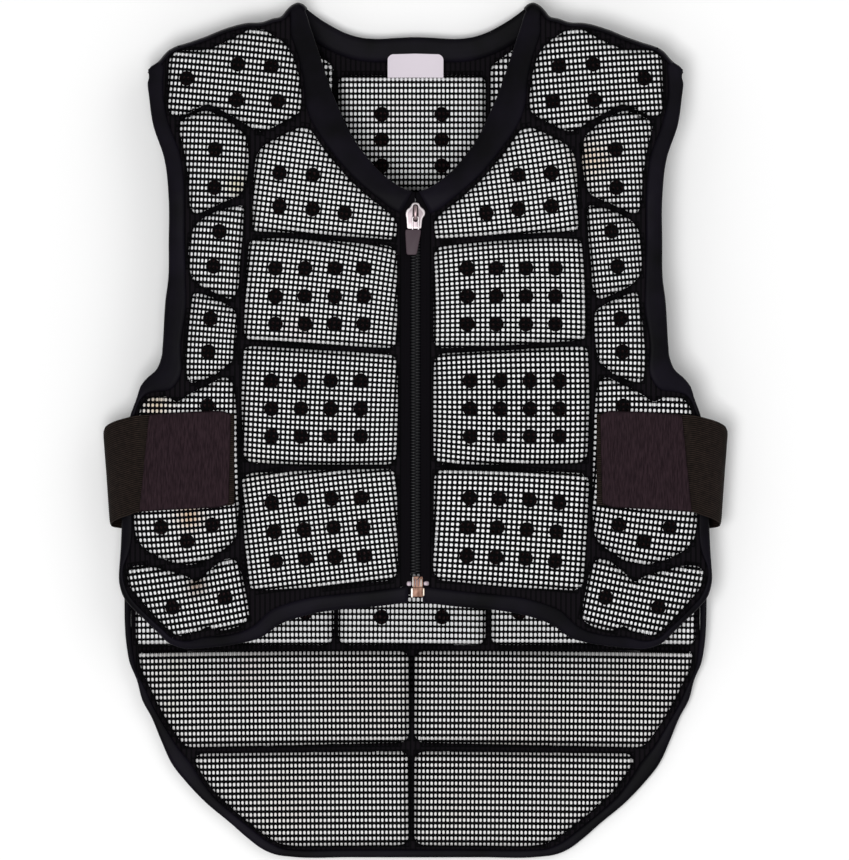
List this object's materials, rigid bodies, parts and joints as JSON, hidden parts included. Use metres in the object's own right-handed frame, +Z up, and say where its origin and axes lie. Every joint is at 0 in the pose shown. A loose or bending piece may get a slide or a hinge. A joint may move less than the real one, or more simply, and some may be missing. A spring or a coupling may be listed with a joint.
{
  "type": "equestrian body protector",
  "caption": "Rider's body protector: white foam pads with vent holes under black net, front zip, elastic side straps with loop tabs, rounded tail; lies on its back",
  "frame": {"origin": "centre of the bounding box's underside, on the floor that the back lies on", "axes": "+Y towards the neck, +Z up out of the chest, +X towards the wearer's left"},
  "size_m": [0.4376, 0.6, 0.0839],
  "materials": {
    "foam": "closed-cell white foam seen through a black net",
    "cover": "black warp-knit net",
    "binding": "smooth black stretch binding",
    "elastic": "ribbed black elastic",
    "loop_tab": "brushed dark loop fabric",
    "label": "satin white label, blank",
    "zip_tape": "woven black zip tape",
    "zip_teeth": "black moulded coil teeth",
    "slider_metal": "nickel plated die-cast slider",
    "pull_plastic": "dark grey plastic",
    "box_metal": "worn nickel, warm tone"
  },
  "bodies": {
    "vest": {"back_cover": "cover", "back_edge_binding": "binding", "back_neck_binding": "binding", "chest_pad_left": "foam", "chest_pad_right": "foam", "front_cover_left": "cover", "front_cover_right": "cover", "front_edge_binding_left": "binding", "front_edge_binding_right": "binding", "hem_pad_left": "foam", "hem_pad_right": "foam", "lower_back_pad_left": "foam", "lower_back_pad_right": "foam", "lower_rib_pad_left": "foam", "lower_rib_pad_right": "foam", "lower_side_pad_left": "foam", "lower_side_pad_right": "foam", "lower_spine_pad": "foam", "lower_tail_pad_left": "foam", "lower_tail_pad_right": "foam", "middle_back_pad_left": "foam", "middle_back_pad_right": "foam", "middle_rib_pad_left": "foam", "middle_rib_pad_right": "foam", "middle_side_pad_left": "foam", "middle_side_pad_right": "foam", "middle_spine_pad": "foam", "neck_binding_left": "binding", "neck_binding_right": "binding", "neck_label": "label", "neck_pad": "foam", "shoulder_blade_pad_left": "foam", "shoulder_blade_pad_right": "foam", "shoulder_fold_left": "binding", "shoulder_fold_right": "binding", "shoulder_pad_left": "foam", "shoulder_pad_right": "foam", "side_strap_left": "elastic", "side_strap_right": "elastic", "strap_tab_left": "loop_tab", "strap_tab_right": "loop_tab", "upper_back_pad_left": "foam", "upper_back_pad_right": "foam", "upper_rib_pad_left": "foam", "upper_rib_pad_right": "foam", "upper_side_pad_left": "foam", "upper_side_pad_right": "foam", "upper_spine_pad": "foam", "upper_tail_pad_left": "foam", "upper_tail_pad_right": "foam", "waist_side_pad_left": "foam", "waist_side_pad_right": "foam", "zip_box": "box_metal", "zip_chain": "zip_teeth", "zip_slider": "slider_metal", "zip_tape_left": "zip_tape", "zip_tape_right": "zip_tape"},
    "pull": {"zip_pull": "pull_plastic"}
  },
  "joints": [
    {"name": "zip_pull_swing", "type": "hinge", "parent": "vest", "child": "pull", "pos_m": [0, 0.14877, 0.07407], "axis": [-1, 0, 0], "range_deg": [0, 130]}
  ]
}
